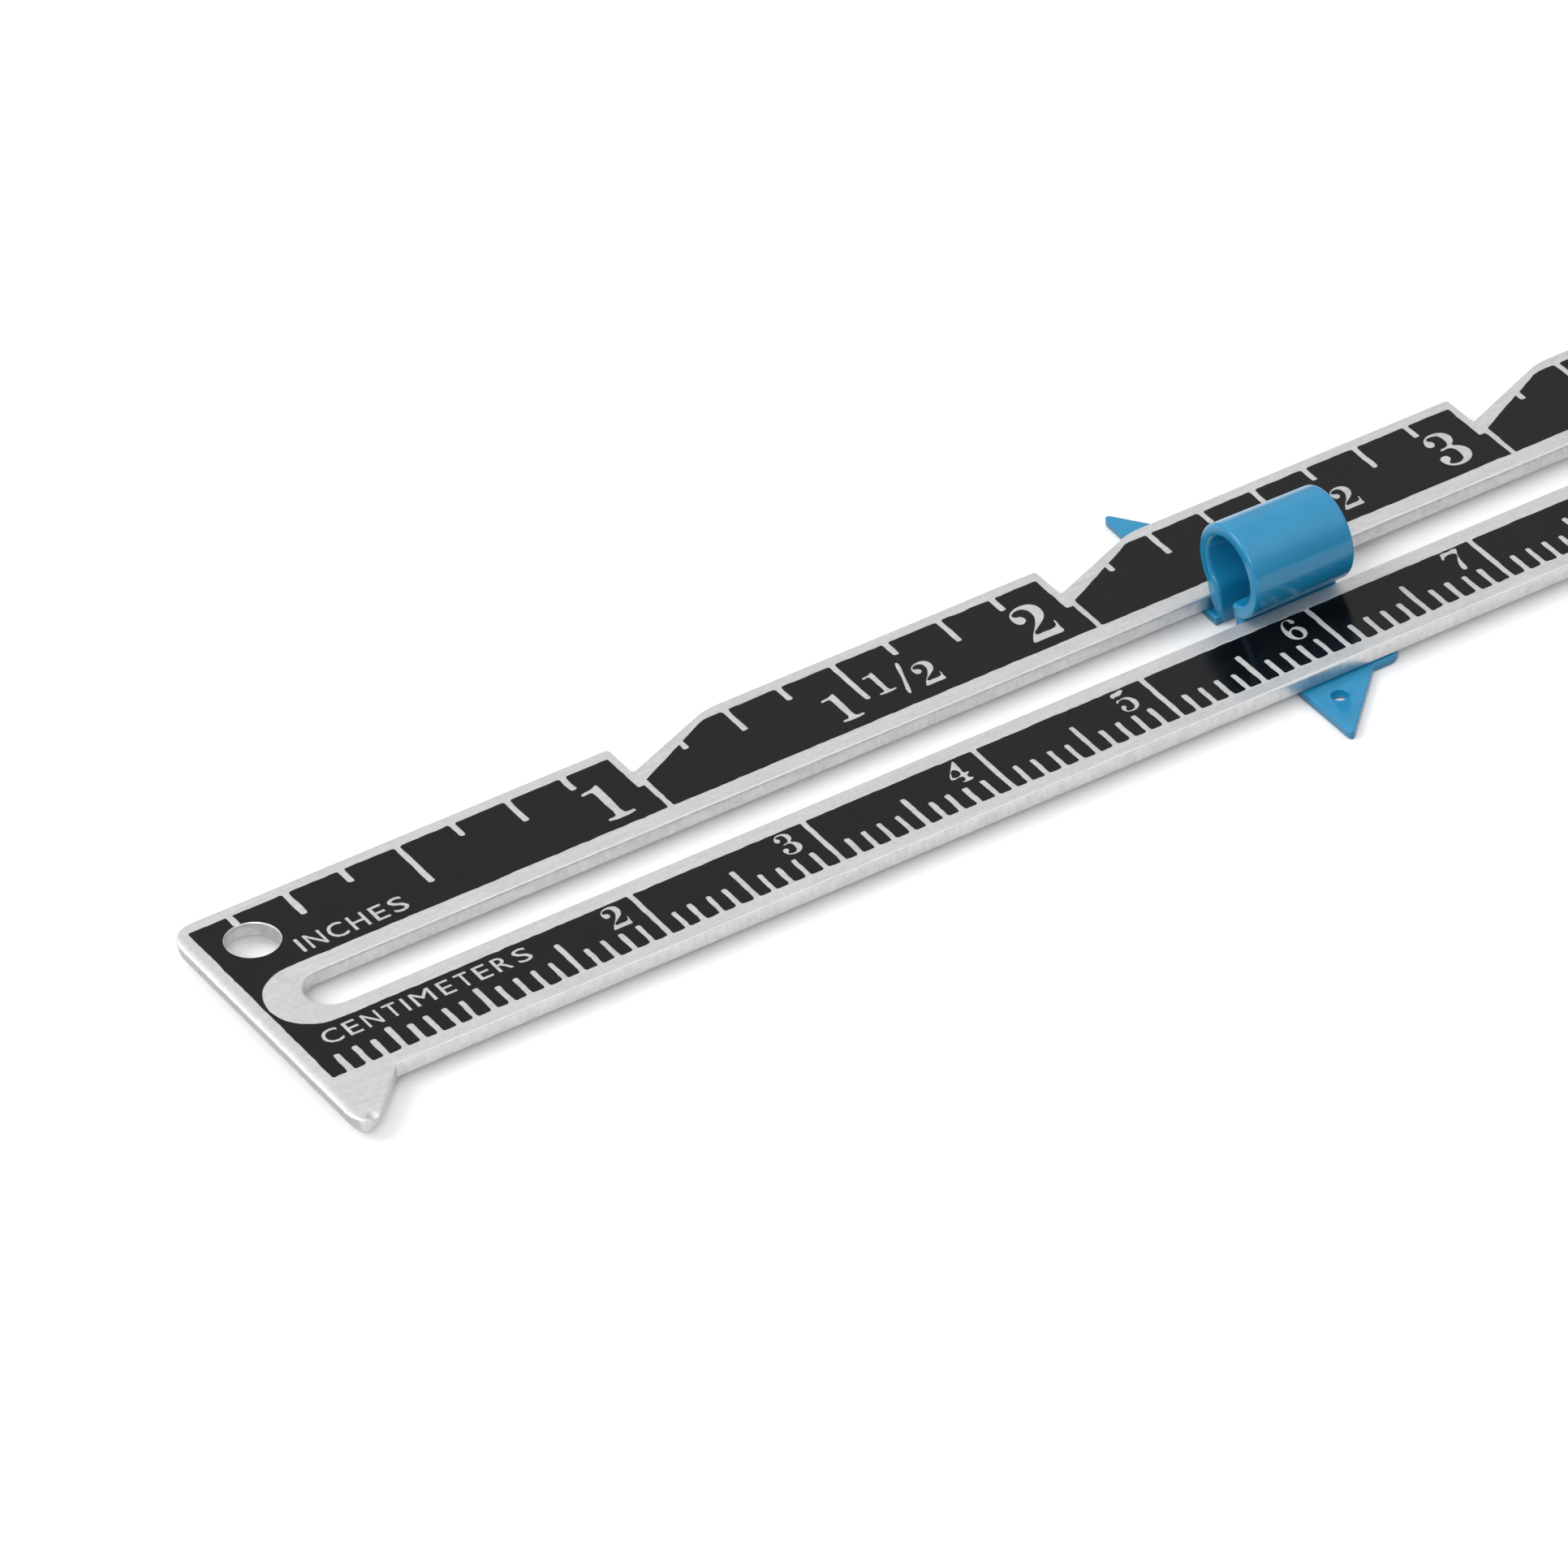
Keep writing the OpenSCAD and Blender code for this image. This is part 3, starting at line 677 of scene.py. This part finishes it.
def draw_on(wall, inner_end, outer_end):
    """Draws a wall's edge on to a new inner and outer end, and gives back the edge there."""
    drawn = bmesh.ops.extrude_edge_only(bm, edges=[wall])["geom"]
    ends = [g for g in drawn if isinstance(g, bmesh.types.BMVert)]
    inner, outer = sorted(ends, key=lambda v: abs(v.co.x - loop_y))
    inner.co, outer.co = (*inner_end, 0), (*outer_end, 0)
    return [g for g in drawn if isinstance(g, bmesh.types.BMEdge) and set(g.verts) == set(ends)][0]


near_wall = swing(wall, (loop_y, loop_z), 2 * math.pi - far_turn - near_turn, loop_steps)
far_leg = (((0.58, 2.57), (1.3, 1.88)), ((0.45, 2.2), (1.17, 1.62)), ((0.45, 0.25), (1.17, 0.25)))
near_leg = (((-0.75, 2.27), (-1.33, 1.62)), ((-0.75, 0.25), (-1.33, 0.25)))
for last, leg in ((wall, far_leg), (near_wall, near_leg)):
    for inner_end, outer_end in leg:
        last = draw_on(last, inner_end, outer_end)
bmesh.ops.recalc_face_normals(bm, faces=bm.faces[:])
if sum(f.normal.z for f in bm.faces) < 0:
    bmesh.ops.reverse_faces(bm, faces=bm.faces[:])
thicken(bm, slider_l, loop_rim, steps=5)
mouth_l = 0.7
for side in (-1, 1):
    for back in (mouth_l, mouth_l / 2):
        bmesh.ops.bisect_plane(
            bm, geom=bm.verts[:] + bm.edges[:] + bm.faces[:], dist=snap,
            plane_co=(0, 0, side * (slider_l / 2 - back)), plane_no=(0, 0, 1))

# The loop is drafted, its bore opens out at both mouths, and the legs are set back from its end
draft, flare, leg_back = 0.03, 0.05, 0.28
leg_top, near_outside, near_bore = 1.65, 0.3, 0.15
for v in bm.verts:
    out = v.co.xy - Vector((loop_y, loop_z))
    to_mouth = max(0, abs(v.co.z) - slider_l / 2 + mouth_l) / mouth_l
    if v.co.y > leg_top:
        if out.length > loop_out - near_outside:
            out *= 1 + draft * (0.5 - v.co.z / slider_l)
        elif out.length < loop_bore + near_bore:
            out *= 1 + flare * to_mouth ** 2
        v.co.x, v.co.y = loop_y + out.x, loop_z + out.y
    elif v.co.z < 0:
        v.co.z += leg_back
stand_up = Matrix.Translation((slider_l / 2, 0, 0)) @ Matrix(
    ((0, 0, 1, 0), (1, 0, 0, 0), (0, 1, 0, 0), (0, 0, 0, 1)))
bmesh.ops.transform(bm, matrix=stand_up, verts=bm.verts[:])

# The foot plates. The pin that moulds the pivot hole is tapered, so the hole is narrower below.
near_plate_y, near_bend_x, near_tip = -7.1, 4.204, (0, -11.304)
far_plate_y, far_bend_x, far_tip = 8.3, 2.603, (0.3, 11.469)
tip_r, bend_r, plate_r, leg_cover = 0.25, 0.2, 0.8, 0.2
pivot, pivot_r, pivot_reach, pivot_taper = (1.4, -8.15), 0.44, 0.7, 0.76
near_foot = bmesh.new()
blank(near_foot, [(0, -leg_in - leg_cover, 0), (*near_tip, tip_r), (near_bend_x, near_plate_y, bend_r),
                  (slider_l, near_plate_y, plate_r), (slider_l, -leg_in - leg_cover, 0)])
punch(near_foot, *pivot, pivot_r, steps=24)
far_foot = bmesh.new()
blank(far_foot, [(slider_l, leg_in, 0), (slider_l, far_plate_y, plate_r),
                 (far_bend_x, far_plate_y, bend_r), (*far_tip, tip_r), (0, leg_in, 0)])
for foot in (near_foot, far_foot):
    fill_blank(foot)
    thicken(foot, foot_t, mould_rim)
    bmesh.ops.translate(foot, verts=foot.verts[:], vec=(0, 0, foot_t / 2))
    below = [v for v in foot.verts
             if v.co.z < foot_t / 2 and (v.co.xy - Vector(pivot)).length < pivot_reach]
    bmesh.ops.scale(
        foot, verts=below, vec=(pivot_taper, pivot_taper, 1),
        space=Matrix.Translation((-pivot[0], -pivot[1], 0)))
    plate = bpy.data.meshes.new("foot_plate")
    foot.to_mesh(plate)
    foot.free()
    bm.from_mesh(plate)
    bpy.data.meshes.remove(plate)
bmesh.ops.recalc_face_normals(bm, faces=bm.faces[:])
make_piece("loop_slider", bm, Matrix.Translation((slider_low.x, 0, 0)), blue,
           "slider", ["slider"])


# The surface: a plain white board that carries the gauge and takes its soft shadow. To the
# camera and to shiny pieces it is a full white, and to the light it is a pale grey.
board_half, board_drop = 2, 0.02 * mm
bm = bmesh.new()
bmesh.ops.create_grid(
    bm, x_segments=1, y_segments=1, size=board_half, matrix=Matrix.Translation((0, 0, -board_drop)))
board_mesh = bpy.data.meshes.new("white_board")
bm.to_mesh(board_mesh)
bm.free()
board = bpy.data.objects.new("white_board", board_mesh)
bpy.context.scene.collection.objects.link(board)
white, tree, shader, add = new_finish("white_board")
rays = add("ShaderNodeLightPath").outputs
direct = reckon(add, "MAXIMUM", rays["Is Camera Ray"], rays["Is Glossy Ray"])
shown = between(add, direct, (0.25, 0.25, 0.25, 1), (0.95, 0.95, 0.95, 1), data_type="RGBA")
wire(tree, shader, {
    "Base Color": shown, "Roughness": 0.9, "Specular IOR Level": 0, "Emission Color": (1, 1, 1, 1),
    "Emission Strength": reckon(add, "MULTIPLY", rays["Is Camera Ray"], 0.05)})
board_mesh.materials.append(white)


# The light: a white room, dimmer low down and in front, one soft lamp behind the zero end and a
# small one beside the camera. To the camera the room is plain white.
world = bpy.data.worlds.new("white_room")
bpy.context.scene.world = world
world.use_nodes = True
add = node_maker(world.node_tree)
toward = add("ShaderNodeSeparateXYZ", {"Vector": add("ShaderNodeTexCoord").outputs["Generated"]})
in_front = fade(add, toward.outputs["Z"], 0.45, 0.7, 0.62, 1.12, interpolation_type="SMOOTHSTEP")
high_up = fade(add, toward.outputs["Y"], -0.3, 0.3, in_front, 0.76)
backdrop = fade(add, toward.outputs["Y"], -0.2, 0.5, 0.3, 0.42)
from_below = fade(add, toward.outputs["Z"], 0.05, 0.5, backdrop, high_up)
rays = add("ShaderNodeLightPath").outputs
wire(world.node_tree, world.node_tree.nodes["Background"], {
    "Color": (1, 1, 1, 1), "Strength": reckon(add, "MAXIMUM", from_below, rays["Is Camera Ray"])})
lamps = (("soft_lamp", 0.45, 1.5, (-0.42, 0.2, 0.44)), ("small_lamp", 0.12, 0.55, (-0.37, -0.32, 0.37)))
for name, size, energy, place in lamps:
    lamp = bpy.data.lights.new(name, "AREA")
    lamp.shape, lamp.size, lamp.energy = "DISK", size, energy
    lamp_holder = bpy.data.objects.new(name, lamp)
    lamp_holder.location = place
    lamp_holder.rotation_euler = (-lamp_holder.location).to_track_quat("-Z", "Y").to_euler()
    bpy.context.scene.collection.objects.link(lamp_holder)


# The camera: a long lens, low over the zero end, that sees the first three inches.
view = bpy.data.cameras.new("photo_view")
view.lens, view.sensor_width, view.clip_start = 263.84, 36, 0.02
camera = bpy.data.objects.new("photo_view", view)
camera_place = (-0.27895, -0.38249, 0.34338)
side, up = Vector((0.83895, -0.54306, -0.03531)), Vector((0.35309, 0.49380, 0.79466))
ahead = Vector((0.41411, 0.67915, -0.60602))
turned = Matrix((side, up, -ahead)).transposed().to_4x4()
camera.matrix_world = Matrix.Translation(camera_place) @ turned
bpy.context.scene.collection.objects.link(camera)
bpy.context.scene.camera = camera
bpy.context.scene.view_settings.view_transform = "Standard"
